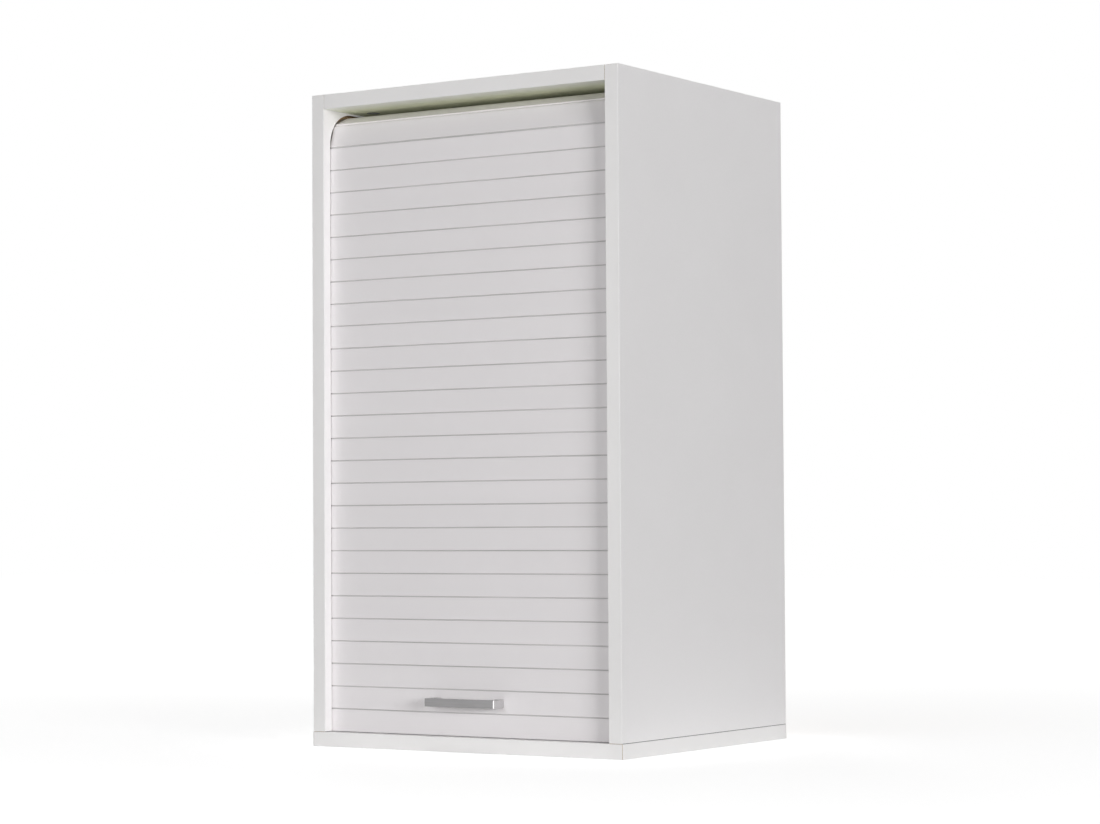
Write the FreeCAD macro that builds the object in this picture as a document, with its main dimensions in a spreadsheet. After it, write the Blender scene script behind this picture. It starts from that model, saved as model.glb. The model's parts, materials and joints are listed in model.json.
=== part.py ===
import FreeCAD, Part

import math
import os
import re

import Sketcher

# A kitchen wall cabinet of white coated chipboard with a tambour shutter. The shutter's slats run
# in a groove in each side panel: up the front, round a bend, back under the top and down behind an
# inner back panel. X is to the right, Y to the back, Z up. The origin is the middle of the
# footprint at the foot of the cabinet, and the footprint includes the handle. All sizes are in mm.

# Driving sizes. Each becomes one cell of the document's sheet.
SIZES = {
    # Carcass
    "cabinet_width": 400.0,  # outside the side panels
    "cabinet_height": 720.0,
    "cabinet_depth": 350.0,  # front plane to rear plane of the boards
    "board": 16.0,  # thickness of the chipboard
    "bottom_overhang": 1.0,  # bottom board beyond each side panel
    "edging": 0.8,  # thickness of the strip glued on a board's edge
    # Outer back panel, in grooves on all four sides
    "back_inset": 16.0,  # rear plane to the panel
    "back_thickness": 3.0,
    "back_tongue": 5.5,  # how far the panel stands in its grooves
    # Inner back panel, in front of the shutter's rear run
    "inner_back_thickness": 8.0,
    "inner_back_tongue": 5.0,
    "inner_back_gap": 3.0,  # panel to the groove of the rear run
    "groove_play": 0.2,  # panel edges and faces to their grooves
    # Shutter groove
    "groove_setback": 12.0,  # front plane to the groove
    "groove_width": 12.7,
    "groove_depth": 8.0,
    "groove_radius": 37.5,  # outer wall of both bends
    "groove_top_gap": 2.0,  # groove to the underside of the top panel
    "rear_run_gap": 5.0,  # rear run of the groove to the outer back panel
    # Shutter
    "slat_pitch": 24.8,
    "slat_thickness": 8.0,
    "shutter_gap": 0.5,  # slats to the outer wall of the groove
    "lying_gap": 0.3,  # slats to the inner wall, in the top run and as they leave the bend
    "slat_end_gap": 0.5,  # slat ends to the floor of the groove
    "floor_gap": 0.5,  # lowest slat to the bottom board
    "joint_gap": 0.8,  # line between the faces of two slats
    "slat_bevel": 0.5,
    "back_relief": 2.4,  # how far a slat's back face ends before its hinge
    "bead_radius": 1.4,
    "neck_thickness": 1.0,
    "bead_play": 0.3,
    "socket_wall": 0.9,
    "cup_play": 0.4,  # socket to the cup in the slat below
    "mouth_front_angle": 22.0,  # socket mouth towards the front, in degrees
    "mouth_back_angle": 72.0,  # socket mouth towards the back, in degrees
    "slat_wall": 1.3,
    "seal_width": 3.0,
    "seal_height": 2.2,
    "seal_clearance": 0.3,  # seal to the bottom board
    "seal_play": 0.1,
    "tail_gap": 4.0,  # open shutter to the stops
    "stop_height": 20.0,
    # Handle
    "handle_length": 90.0,
    "handle_stand": 19.5,  # handle's front to the slat's face
    "handle_height": 8.6,
    "handle_bar": 6.0,
    "handle_leg": 10.0,
    "handle_rise": 11.4,  # lower hinge of the second slat to the middle of the handle
    "handle_corner": 1.2,
    "handle_screw_radius": 2.0,
    "handle_screw_bite": 10.0,
    "handle_head_radius": 3.6,
    "handle_head_height": 2.2,
    # Shelves
    "shelf_side_gap": 0.5,
    "shelf_front_gap": 10.0,  # shutter groove to the shelf
    "shelf_rear_gap": 1.0,
    "pin_pitch": 32.0,
    "pin_first_height": 96.0,  # lowest hole above the bottom board
    "pin_front_inset": 60.0,
    "pin_rear_inset": 37.0,  # inner back panel to the rear row of holes
    "pin_radius": 2.45,
    "pin_depth": 9.0,
    "pin_head_length": 9.0,
    "pin_head_width": 8.0,
    "pin_head_height": 5.0,
    # Cam fittings and dowels
    "fitting_inset": 60.0,  # fittings to the front and rear planes
    "dowel_spacing": 32.0,  # fitting to its dowel
    "cam_setback": 24.0,  # board's end to the middle of the cam
    "cam_radius": 7.5,
    "cam_depth": 12.0,
    "cam_recess_depth": 2.5,
    "cam_recess_reach": 3.6,
    "cam_recess_width": 1.4,
    "cover_radius": 9.0,
    "cover_thickness": 1.2,
    "bolt_thread_radius": 2.5,
    "bolt_thread_length": 11.0,
    "bolt_tip": 1.0,
    "bolt_flange_radius": 3.5,
    "bolt_flange_height": 1.0,
    "bolt_shank_radius": 2.4,
    "bolt_neck_radius": 1.5,
    "bolt_neck_length": 3.0,
    "bolt_head_radius": 3.0,
    "bolt_head_height": 2.6,
    "bolt_bore_radius": 4.0,
    "cam_slot_play": 0.4,
    "dowel_radius": 4.0,
    "dowel_length": 28.0,
    "dowel_bevel": 1.0,
    "dowel_short_bite": 11.0,  # dowel in the board that it meets square on
    "hole_play": 0.5,  # end of a peg to the bottom of its hole
    "fit_play": 0.05,  # round peg to the wall of its hole
    # Brackets that hang the cabinet on two wall screws
    "bracket_sheet": 2.0,
    "bracket_web": 32.0,
    "bracket_flange": 13.5,
    "bracket_height": 40.0,
    "bracket_drop": 3.0,  # top panel to the bracket
    "keyhole_inset": 15.0,  # side panel to the middle of the keyhole
    "keyhole_radius": 5.0,
    "keyhole_neck_radius": 2.5,
    "keyhole_neck_rise": 10.0,
    "keyhole_height": 14.0,  # foot of the bracket to the middle of the keyhole
    "bracket_screw_inset": 9.0,  # top and foot of the bracket to its screws
    # Countersunk chipboard screws
    "screw_radius": 1.75,
    "screw_length": 11.0,
    "screw_tip": 2.0,
    "screw_head_radius": 3.3,
    "screw_head_height": 1.6,
    "recess_reach": 1.7,
    "recess_width": 0.7,
    "recess_depth": 1.0,
}

# Counts
SLAT_COUNT = 30  # enough for the closed shutter to end past the front bend
FRONT_SLAT_COUNT = 2  # slats that stay in front when the shutter is open
PIN_HOLE_COUNT = 16
LOWER_SHELF_HOLE_COUNT = 3  # pin holes below the lower shelf's own
UPPER_SHELF_HOLE_COUNT = 10  # pin holes below the upper shelf's own

# Halvings of the interval in which the next hinge is looked for
HALVINGS = 40

# How far a cut runs past the face that it opens
OVERRUN = "board / 4"

# Places worked out from the sizes. Y is counted from the front plane and Z from the cabinet's foot
# unless the name says otherwise.
INNER_HALF = "(cabinet_width / 2 - board)"
SIDE_HEIGHT = "(cabinet_height - board)"
SIDE_MIDDLE = "(cabinet_width / 2 - board / 2)"
BOTTOM_HALF = "(cabinet_width / 2 + bottom_overhang)"
HANDLE_PROUD = "(handle_stand - groove_setback - shutter_gap)"
FRONT_Y = f"(({HANDLE_PROUD} - cabinet_depth) / 2)"
BACK_REAR = "(cabinet_depth - back_inset)"
BACK_FRONT = f"({BACK_REAR} - back_thickness)"
REAR_RUN_OUTER = f"({BACK_FRONT} - rear_run_gap)"
REAR_RUN_INNER = f"({REAR_RUN_OUTER} - groove_width)"
INNER_BACK_REAR = f"({REAR_RUN_INNER} - inner_back_gap)"
INNER_BACK_FRONT = f"({INNER_BACK_REAR} - inner_back_thickness)"
FRONT_RUN_INNER = "(groove_setback + groove_width)"
FRONT_BEND = "(groove_setback + groove_radius)"
REAR_BEND = f"({REAR_RUN_OUTER} - groove_radius)"
BEND_HEIGHT = "(cabinet_height - board - groove_top_gap - groove_radius)"
INNER_RADIUS = "(groove_radius - groove_width)"
REAR_FITTING = "(cabinet_depth - fitting_inset)"
FITTING_PLACES = ("fitting_inset", REAR_FITTING)
DOWEL_PLACES = ("(fitting_inset + dowel_spacing)", f"({REAR_FITTING} - dowel_spacing)")
PIN_PLACES = ("pin_front_inset", f"({INNER_BACK_FRONT} - pin_rear_inset)")
SHELF_FRONT = f"({FRONT_RUN_INNER} + shelf_front_gap)"
SHELF_REAR = f"({INNER_BACK_FRONT} - shelf_rear_gap)"
SHELF_HALF = f"({INNER_HALF} - shelf_side_gap)"
SLAT_HALF = f"({INNER_HALF} + groove_depth - slat_end_gap)"
PATH_INSET = "(groove_setback + shutter_gap + slat_thickness / 2)"
PATH_RADIUS = "(groove_radius - shutter_gap - slat_thickness / 2)"
PATH_FOOT = "(board + floor_gap)"
LYING_RADIUS = f"({INNER_RADIUS} + lying_gap + slat_thickness / 2)"
LYING_HEIGHT = f"({BEND_HEIGHT} + {LYING_RADIUS})"
SOCKET_BORE = "(bead_radius + bead_play)"
SOCKET_RADIUS = f"({SOCKET_BORE} + socket_wall)"
CUP_RADIUS = f"({SOCKET_RADIUS} + cup_play)"
HANDLE_SCREW_X = "(handle_length / 2 - handle_leg / 2)"
HANDLE_HEIGHT = f"({PATH_FOOT} + slat_pitch + handle_rise)"
DOWEL_LONG_BITE = "(dowel_length - dowel_short_bite)"
BRACKET_TOP = "(cabinet_height - board - bracket_drop)"
BRACKET_FOOT = f"({BRACKET_TOP} - bracket_height)"
BRACKET_SCREW_Y = "(cabinet_depth - bracket_flange / 2)"
BRACKET_SCREW_HEIGHTS = (
    f"({BRACKET_FOOT} + bracket_screw_inset)",
    f"({BRACKET_TOP} - bracket_screw_inset)",
)
QUARTER_TURN = f"({PATH_RADIUS} * pi / 2)"
TOP_RUN = f"({REAR_BEND} - {FRONT_BEND})"
FRONT_RUN = f"({BEND_HEIGHT} - {PATH_FOOT})"
REAR_RUN_MIDDLE = f"({REAR_RUN_OUTER} - groove_width / 2)"
STOP_HEAD_DEPTH = "(groove_depth - screw_length / 2)"

X_AXIS = FreeCAD.Vector(1, 0, 0)
Y_AXIS = FreeCAD.Vector(0, 1, 0)
Z_AXIS = FreeCAD.Vector(0, 0, 1)
NO_MOVE = FreeCAD.Vector(0, 0, 0)
SIDES = (("left", -1), ("right", 1))


def make_sheet(document):
    """The sheet of driving sizes: a label in column A, the number in column B."""
    sheet = document.addObject("Spreadsheet::Sheet", "Sizes")
    for row, (name, number) in enumerate(SIZES.items(), start=1):
        sheet.set(f"A{row}", name)
        sheet.set(f"B{row}", str(number))
        sheet.setAlias(f"B{row}", name)
    document.recompute()
    return sheet


doc = FreeCAD.newDocument("ShutterCabinet")
sheet = make_sheet(doc)


def bound(text):
    """The expression with each size's name turned into a reference to its cell."""
    return re.sub(r"[a-z_]+", lambda word: f"Sizes.{word[0]}" if word[0] in SIZES else word[0], text)


def value(text):
    """What an expression comes to, as a plain number."""
    return float(sheet.evalExpression(bound(text).replace("Sizes.", "")))


# The open shutter has risen by as many whole slats as the front run holds, less those that stay in
# front, and its tail hangs in the rear run above the stops.
RISEN_COUNT = math.floor(value(f"{FRONT_RUN} / slat_pitch")) - FRONT_SLAT_COUNT
OPEN_REACH = f"({SLAT_COUNT + RISEN_COUNT} * slat_pitch)"
TAIL_HEIGHT = f"({BEND_HEIGHT} - ({OPEN_REACH} - {FRONT_RUN} - 2 * {QUARTER_TURN} - {TOP_RUN}))"
STOP_TOP = f"({TAIL_HEIGHT} - tail_gap)"
STOP_MIDDLE = f"({STOP_TOP} - stop_height / 2)"


# Bodies, sketches and features

def new_body(name):
    body = doc.addObject("PartDesign::Body", name)
    body.Label = name
    return body


def place(item, x="0", y="0", z="0", rotation=None):
    """Stand an item at a place that follows the sizes, y counted from the front plane."""
    item.Placement = FreeCAD.Placement(NO_MOVE, rotation or FreeCAD.Rotation())
    item.setExpression("Placement.Base.x", bound(x))
    item.setExpression("Placement.Base.y", bound(f"{FRONT_Y} + {y}"))
    item.setExpression("Placement.Base.z", bound(z))
    return item


def sketch_on(body, role, name, offset=None):
    """A sketch on one of the body's own planes, or offset from it along the plane's normal."""
    plane = next(item for item in body.Origin.OriginFeatures if item.Role == role)
    sketch = body.newObject("Sketcher::SketchObject", f"{body.Name}_{name}")
    sketch.AttachmentSupport = (plane, "")
    sketch.MapMode = "FlatFace"
    if offset:
        sketch.setExpression("AttachmentOffset.Base.z", bound(offset))
    return sketch


def tie(sketch, kind, expression, *where):
    """One dimension of a sketch, held to an expression."""
    index = sketch.addConstraint(Sketcher.Constraint(kind, *where, value(expression)))
    sketch.setExpression(f"Constraints[{index}]", bound(expression))


def tie_point(sketch, geometry, end, corner):
    tie(sketch, "DistanceX", corner[0], -1, 1, geometry, end)
    tie(sketch, "DistanceY", corner[1], -1, 1, geometry, end)


def add_arc(sketch, start, end, centre, clockwise):
    """An arc from start to end. Its own ends run anticlockwise, so the two are swapped if need be."""
    first, last = (end, start) if clockwise else (start, end)
    radius = math.dist(start, centre)
    angles = [math.atan2(point[1] - centre[1], point[0] - centre[0]) for point in (first, last)]
    circle = Part.Circle(FreeCAD.Vector(*centre, 0), Z_AXIS, radius)
    return sketch.addGeometry(Part.ArcOfCircle(circle, *angles), False)


def outline(sketch, corners, bends=None):
    """A closed outline through corners, each a pair of expressions. bends maps a corner's number to
    the centre, radius and direction of an arc that leaves it: (x, y, radius, clockwise)."""
    bends = bends or {}
    places = [(value(x), value(y)) for x, y in corners]
    edges = []
    for number, start in enumerate(places):
        end = places[(number + 1) % len(places)]
        if number in bends:
            x, y, _, clockwise = bends[number]
            edge = add_arc(sketch, start, end, (value(x), value(y)), clockwise)
            edges.append((edge, 2, 1) if clockwise else (edge, 1, 2))
        else:
            line = Part.LineSegment(FreeCAD.Vector(*start, 0), FreeCAD.Vector(*end, 0))
            edges.append((sketch.addGeometry(line, False), 1, 2))
    for number, (edge, _, last) in enumerate(edges):
        following, first, _ = edges[(number + 1) % len(edges)]
        sketch.addConstraint(Sketcher.Constraint("Coincident", edge, last, following, first))
    for number, (edge, first, _) in enumerate(edges):
        tie_point(sketch, edge, first, corners[number])
        if number in bends:
            tie(sketch, "Radius", bends[number][2], edge)


def rectangle(sketch, left, right, low, high):
    outline(sketch, [(left, low), (right, low), (right, high), (left, high)])


def circle(sketch, x, y, radius):
    centre = FreeCAD.Vector(value(x), value(y), 0)
    geometry = sketch.addGeometry(Part.Circle(centre, Z_AXIS, value(radius)), False)
    tie_point(sketch, geometry, 3, (x, y))
    tie(sketch, "Radius", radius, geometry)


def cross(sketch, x, y, reach, width):
    """A cross of four equal arms, for a screwdriver."""
    half = f"{width} / 2"
    arm = [(reach, f"-{half}"), (reach, half), (half, half)]
    corners = []
    for turn in range(4):
        for across, up in arm:
            for _ in range(turn):
                across, up = f"-({up})", f"({across})"
            corners.append((f"{x} + {across}", f"{y} + {up}"))
    outline(sketch, corners)


def feature(body, kind, sketch):
    made = body.newObject(f"PartDesign::{kind}", f"{sketch.Name}_{kind}")
    made.Profile = sketch
    return made


def pad(body, sketch, length, backwards=False, both_ways=False):
    made = feature(body, "Pad", sketch)
    made.Midplane = both_ways
    made.Reversed = backwards
    made.setExpression("Length", bound(length))
    return made


def pocket(body, sketch, length, forwards=False, both_ways=False):
    """Cut against the sketch's normal, or along it if forwards."""
    made = feature(body, "Pocket", sketch)
    made.Midplane = both_ways
    made.Reversed = forwards
    made.setExpression("Length", bound(length))
    return made


def turned(body, name, profile):
    """A turned piece about its own Z axis, from (radius, height) corners."""
    sketch = sketch_on(body, "XZ_Plane", name)
    outline(sketch, profile)
    made = feature(body, "Revolution", sketch)
    made.ReferenceAxis = (sketch, ["V_Axis"])
    return made


def copy_of(body, name):
    """Another piece of the same shape, which follows every change of the first."""
    twin = new_body(name)
    base = twin.newObject("PartDesign::FeatureBase", f"{name}_shape")
    base.BaseFeature = body
    twin.Tip = base
    return twin


def block(name, left, right, front, rear, low, high):
    """A plain rectangular piece between two places on each axis."""
    item = doc.addObject("Part::Box", name)
    item.Label = name
    item.setExpression("Length", bound(f"({right}) - ({left})"))
    item.setExpression("Width", bound(f"({rear}) - ({front})"))
    item.setExpression("Height", bound(f"({high}) - ({low})"))
    return place(item, left, front, low)


def group(name, pieces):
    """Like fasteners under one name, each still a solid of its own."""
    item = doc.addObject("Part::Compound", name)
    item.Label = name
    item.Links = pieces
    return item


def fasteners(name, first, places):
    """The first fastener and its copies, each stood at (x, y, z, rotation), as one group."""
    pieces = [first]
    for number in range(2, len(places) + 1):
        pieces.append(copy_of(first, f"{name}_{number}"))
    for piece, (x, y, z, rotation) in zip(pieces, places):
        place(piece, x, y, z, rotation)
    return group(name, pieces)


def signed(sign, text):
    return text if sign > 0 else f"-{text}"


# Boards

def make_bottom_board():
    """The full-width board that the side panels stand on."""
    body = new_body("bottom_board")
    core = sketch_on(body, "XY_Plane", "core")
    half = f"({BOTTOM_HALF} - edging)"
    rectangle(core, f"-{half}", half, "edging", "cabinet_depth")
    pad(body, core, "board")

    back_groove = sketch_on(body, "XY_Plane", "back_groove", "board")
    reach = f"({INNER_HALF} + back_tongue + groove_play)"
    rectangle(back_groove, f"-{reach}", reach, f"{BACK_FRONT} - groove_play", f"{BACK_REAR} + groove_play")
    pocket(body, back_groove, "back_tongue + groove_play")

    bolt_holes = sketch_on(body, "XY_Plane", "bolt_holes", "board")
    dowel_holes = sketch_on(body, "XY_Plane", "dowel_holes", "board")
    for x in (f"-{SIDE_MIDDLE}", SIDE_MIDDLE):
        for y in FITTING_PLACES:
            circle(bolt_holes, x, y, "bolt_thread_radius + fit_play")
        for y in DOWEL_PLACES:
            circle(dowel_holes, x, y, "dowel_radius + fit_play")
    pocket(body, bolt_holes, "bolt_thread_length + hole_play")
    pocket(body, dowel_holes, "dowel_short_bite + hole_play")
    return place(body)


def cut_shutter_groove(body, inward):
    """The track of the slats: up the front, round, back and down the rear, open at the foot."""
    track = sketch_on(body, "YZ_Plane", "shutter_groove")
    low = f"-{OVERRUN}"
    bend_z = f"({BEND_HEIGHT} - board)"
    outer_top = f"({bend_z} + groove_radius)"
    inner_top = f"({outer_top} - groove_width)"
    corners = [
        ("groove_setback", low),
        ("groove_setback", bend_z),
        (FRONT_BEND, outer_top),
        (REAR_BEND, outer_top),
        (REAR_RUN_OUTER, bend_z),
        (REAR_RUN_OUTER, low),
        (REAR_RUN_INNER, low),
        (REAR_RUN_INNER, bend_z),
        (REAR_BEND, inner_top),
        (FRONT_BEND, inner_top),
        (FRONT_RUN_INNER, bend_z),
        (FRONT_RUN_INNER, low),
    ]
    bends = {
        1: (FRONT_BEND, bend_z, "groove_radius", True),
        3: (REAR_BEND, bend_z, "groove_radius", True),
        7: (REAR_BEND, bend_z, INNER_RADIUS, False),
        9: (FRONT_BEND, bend_z, INNER_RADIUS, False),
    }
    outline(track, corners, bends)
    pocket(body, track, "groove_depth", forwards=inward)


def make_side_panel(side, sign):
    """A side panel, drawn from its inner face outwards and from its own foot up."""
    body = new_body(f"side_panel_{side}")
    outwards = sign > 0
    core = sketch_on(body, "YZ_Plane", "core")
    rectangle(core, "edging", "cabinet_depth", "0", SIDE_HEIGHT)
    pad(body, core, "board", backwards=not outwards)
    cut_shutter_groove(body, outwards)

    back_groove = sketch_on(body, "YZ_Plane", "back_groove")
    rectangle(
        back_groove,
        f"{BACK_FRONT} - groove_play",
        f"{BACK_REAR} + groove_play",
        f"-{OVERRUN}",
        f"{SIDE_HEIGHT} + {OVERRUN}",
    )
    pocket(body, back_groove, "back_tongue + groove_play", forwards=outwards)

    inner_back_groove = sketch_on(body, "YZ_Plane", "inner_back_groove")
    rectangle(
        inner_back_groove,
        f"{INNER_BACK_FRONT} - groove_play",
        f"{INNER_BACK_REAR} + groove_play",
        f"-{OVERRUN}",
        f"{BEND_HEIGHT} - board + groove_play",
    )
    pocket(body, inner_back_groove, "inner_back_tongue + groove_play", forwards=outwards)

    pin_holes = sketch_on(body, "YZ_Plane", "pin_holes")
    for y in PIN_PLACES:
        for number in range(PIN_HOLE_COUNT):
            circle(pin_holes, y, f"pin_first_height + {number} * pin_pitch", "pin_radius + fit_play")
    pocket(body, pin_holes, "pin_depth + hole_play", forwards=outwards)

    joint_height = f"({SIDE_HEIGHT} - board / 2)"
    cam_holes = sketch_on(body, "YZ_Plane", "cam_holes")
    bolt_holes = sketch_on(body, "YZ_Plane", "bolt_holes")
    dowel_holes = sketch_on(body, "YZ_Plane", "dowel_holes")
    foot_bores = sketch_on(body, "XY_Plane", "foot_bores")
    foot_dowel_holes = sketch_on(body, "XY_Plane", "foot_dowel_holes")
    middle = signed(sign, "board / 2")
    for y in FITTING_PLACES:
        circle(cam_holes, y, "cam_setback", "cam_radius + fit_play")
        circle(bolt_holes, y, joint_height, "bolt_thread_radius + fit_play")
        circle(foot_bores, middle, y, "bolt_bore_radius")
    for y in DOWEL_PLACES:
        circle(dowel_holes, y, joint_height, "dowel_radius + fit_play")
        circle(foot_dowel_holes, middle, y, "dowel_radius + fit_play")
    pocket(body, cam_holes, "cam_depth + hole_play", forwards=outwards)
    pocket(body, bolt_holes, "bolt_thread_length + hole_play", forwards=outwards)
    pocket(body, dowel_holes, "dowel_short_bite + hole_play", forwards=outwards)
    pocket(body, foot_bores, "cam_setback", forwards=True)
    pocket(body, foot_dowel_holes, f"{DOWEL_LONG_BITE} + hole_play", forwards=True)

    screw_holes = sketch_on(body, "YZ_Plane", "screw_holes")
    for z in BRACKET_SCREW_HEIGHTS:
        circle(screw_holes, BRACKET_SCREW_Y, f"{z} - board", "screw_radius + fit_play")
    pocket(body, screw_holes, "screw_length - bracket_sheet + hole_play", forwards=outwards)
    stop_screw_hole = sketch_on(body, "YZ_Plane", "stop_screw_hole")
    circle(stop_screw_hole, REAR_RUN_MIDDLE, f"{STOP_MIDDLE} - board", "screw_radius + fit_play")
    pocket(body, stop_screw_hole, f"{STOP_HEAD_DEPTH} + screw_length + hole_play", forwards=outwards)
    return place(body, signed(sign, INNER_HALF), "0", "board")


def make_top_panel():
    """The board between the side panels, with its cams in the underside."""
    body = new_body("top_panel")
    core = sketch_on(body, "XY_Plane", "core")
    rectangle(core, f"-{INNER_HALF}", INNER_HALF, "edging", "cabinet_depth")
    pad(body, core, "board")

    back_groove = sketch_on(body, "XY_Plane", "back_groove")
    reach = f"({INNER_HALF} + {OVERRUN})"
    rectangle(back_groove, f"-{reach}", reach, f"{BACK_FRONT} - groove_play", f"{BACK_REAR} + groove_play")
    pocket(body, back_groove, "back_tongue + groove_play", forwards=True)

    cam_holes = sketch_on(body, "XY_Plane", "cam_holes")
    cam_x = f"({INNER_HALF} - cam_setback)"
    for x in (f"-{cam_x}", cam_x):
        for y in FITTING_PLACES:
            circle(cam_holes, x, y, "cam_radius + fit_play")
    pocket(body, cam_holes, "cam_depth + hole_play", forwards=True)

    for side, sign in SIDES:
        bores = sketch_on(body, "YZ_Plane", f"bores_{side}", signed(sign, INNER_HALF))
        dowel_holes = sketch_on(body, "YZ_Plane", f"dowel_holes_{side}", signed(sign, INNER_HALF))
        for y in FITTING_PLACES:
            circle(bores, y, "board / 2", "bolt_bore_radius")
        for y in DOWEL_PLACES:
            circle(dowel_holes, y, "board / 2", "dowel_radius + fit_play")
        pocket(body, bores, "cam_setback", forwards=sign < 0)
        pocket(body, dowel_holes, f"{DOWEL_LONG_BITE} + hole_play", forwards=sign < 0)
    return place(body, "0", "0", SIDE_HEIGHT)


def make_back_panels():
    reach = f"({INNER_HALF} + back_tongue)"
    outer = block(
        "back_panel",
        f"-{reach}",
        reach,
        BACK_FRONT,
        BACK_REAR,
        "(board - back_tongue)",
        f"({SIDE_HEIGHT} + back_tongue)",
    )
    reach = f"({INNER_HALF} + inner_back_tongue)"
    inner = block(
        "inner_back_panel",
        f"-{reach}",
        reach,
        INNER_BACK_FRONT,
        INNER_BACK_REAR,
        "board",
        BEND_HEIGHT,
    )
    return [outer, inner]


def shelf_foot(hole):
    """Height of the underside of a shelf whose pins stand in the given hole."""
    return f"(board + pin_first_height + {hole} * pin_pitch + pin_head_height / 2)"


def make_shelf(level, hole):
    foot = shelf_foot(hole)
    top = f"({foot} + board)"
    front = f"({SHELF_FRONT} + edging)"
    shelf = block(f"shelf_{level}", f"-{SHELF_HALF}", SHELF_HALF, front, SHELF_REAR, foot, top)
    strip = block(f"shelf_edging_{level}", f"-{SHELF_HALF}", SHELF_HALF, SHELF_FRONT, front, foot, top)
    return [shelf, strip]


def make_edging():
    """The strips on the edges that show."""
    core_half = f"({BOTTOM_HALF} - edging)"
    strips = [
        block("top_edging", f"-{INNER_HALF}", INNER_HALF, "0", "edging", SIDE_HEIGHT, "cabinet_height"),
        block("bottom_front_edging", f"-{core_half}", core_half, "0", "edging", "0", "board"),
    ]
    outer_half = "(cabinet_width / 2)"
    spans = {
        "left": ((f"-{outer_half}", f"-{INNER_HALF}"), (f"-{BOTTOM_HALF}", f"-{core_half}")),
        "right": ((INNER_HALF, outer_half), (core_half, BOTTOM_HALF)),
    }
    for side, (panel_span, end_span) in spans.items():
        name = f"side_edging_{side}"
        strips.append(block(name, *panel_span, "0", "edging", "board", "cabinet_height"))
        name = f"bottom_end_edging_{side}"
        strips.append(block(name, *end_span, "0", "cabinet_depth", "0", "board"))
    return strips


# Shutter

def path_point(distance):
    """The place (y, z) of the slats' middle line at a distance along it from its foot. It runs up
    the front and into the bend."""
    straight = value(FRONT_RUN)
    if distance <= straight:
        return value(PATH_INSET), value(PATH_FOOT) + distance
    radius = value(PATH_RADIUS)
    turn = (distance - straight) / radius
    return value(FRONT_BEND) - radius * math.cos(turn), value(BEND_HEIGHT) + radius * math.sin(turn)


def next_distance(distance):
    """How far along the path the hinge is that lies one pitch above the one at a distance."""
    pitch = value("slat_pitch")
    start = path_point(distance)
    near = distance + pitch
    far = near + pitch
    for _ in range(HALVINGS):
        middle = (near + far) / 2
        if math.dist(start, path_point(middle)) < pitch:
            near = middle
        else:
            far = middle
    return near


def leaning_end(start):
    """The upper hinge of a slat that leans on the inner wall of the bend."""
    across = value(FRONT_BEND) - start[0]
    down = value(BEND_HEIGHT) - start[1]
    rise = math.atan2(down, across) + math.asin(value(LYING_RADIUS) / math.hypot(across, down))
    pitch = value("slat_pitch")
    return start[0] + pitch * math.cos(rise), start[1] + pitch * math.sin(rise)


def lying_end(start):
    """The rear hinge of a slat that comes to lie on the lower wall of the top run."""
    height = value(LYING_HEIGHT)
    return start[0] + math.sqrt(value("slat_pitch") ** 2 - (height - start[1]) ** 2), height


def hinge_points():
    """The hinge lines between the slats, each one pitch from the last in a straight line. They
    keep to the path until the middle of the bend. From there the weight of the shutter holds each
    slat down on the groove's inner wall."""
    distances = [0.0]
    middle_of_bend = value(f"{FRONT_RUN} + {QUARTER_TURN} / 2")
    while next_distance(distances[-1]) < middle_of_bend:
        distances.append(next_distance(distances[-1]))
    points = [path_point(distance) for distance in distances]
    while len(points) <= SLAT_COUNT:
        start = points[-1]
        ends = []
        if start[0] < value(FRONT_BEND):
            ends.append(leaning_end(start))
        if value(LYING_HEIGHT) - start[1] < value("slat_pitch"):
            ends.append(lying_end(start))
        points.append(max(ends, key=lambda end: end[1]))
    return points


def slat_section(body, lowest):
    """The hollow section of a slat, drawn with its lower hinge at the origin and its face to -Y.
    Its bead turns in the socket of the slat above. The lowest slat has a flat foot."""
    half = "slat_thickness / 2"
    face = f"-{half}"
    bevelled = f"{face} + slat_bevel"
    top = "slat_pitch - joint_gap / 2"
    foot = "0" if lowest else "joint_gap / 2"
    back_foot = foot if lowest else "back_relief"
    section = sketch_on(body, "YZ_Plane", "section")
    corners = [
        (face, f"{foot} + slat_bevel"),
        (bevelled, foot),
        (half, back_foot),
        (half, "slat_pitch - back_relief"),
        (bevelled, top),
        (face, f"{top} - slat_bevel"),
    ]
    outline(section, corners)
    pad(body, section, f"2 * {SLAT_HALF}", both_ways=True)

    cut_length = f"2 * ({SLAT_HALF} + {OVERRUN})"
    cup = sketch_on(body, "YZ_Plane", "cup")
    circle(cup, "0", "slat_pitch", CUP_RADIUS)
    pocket(body, cup, cut_length, both_ways=True)
    neck = sketch_on(body, "YZ_Plane", "neck")
    neck_half = "neck_thickness / 2"
    rectangle(neck, f"-{neck_half}", neck_half, f"slat_pitch - {CUP_RADIUS} - slat_wall / 2", "slat_pitch")
    pad(body, neck, f"2 * {SLAT_HALF}", both_ways=True)
    bead = sketch_on(body, "YZ_Plane", "bead")
    circle(bead, "0", "slat_pitch", "bead_radius")
    pad(body, bead, f"2 * {SLAT_HALF}", both_ways=True)
    return cut_length


def cut_chambers(body, cut_length, low):
    """The two hollow chambers of a slat, with a web between them."""
    chambers = sketch_on(body, "YZ_Plane", "chambers")
    inside = "(slat_thickness / 2 - slat_wall)"
    high = f"(slat_pitch - {CUP_RADIUS} - slat_wall)"
    middle = f"(({low} + {high}) / 2)"
    for bottom, top in ((low, f"{middle} - slat_wall / 2"), (f"{middle} + slat_wall / 2", high)):
        rectangle(chambers, f"-{inside}", inside, bottom, top)
    pocket(body, chambers, cut_length, both_ways=True)


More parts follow.
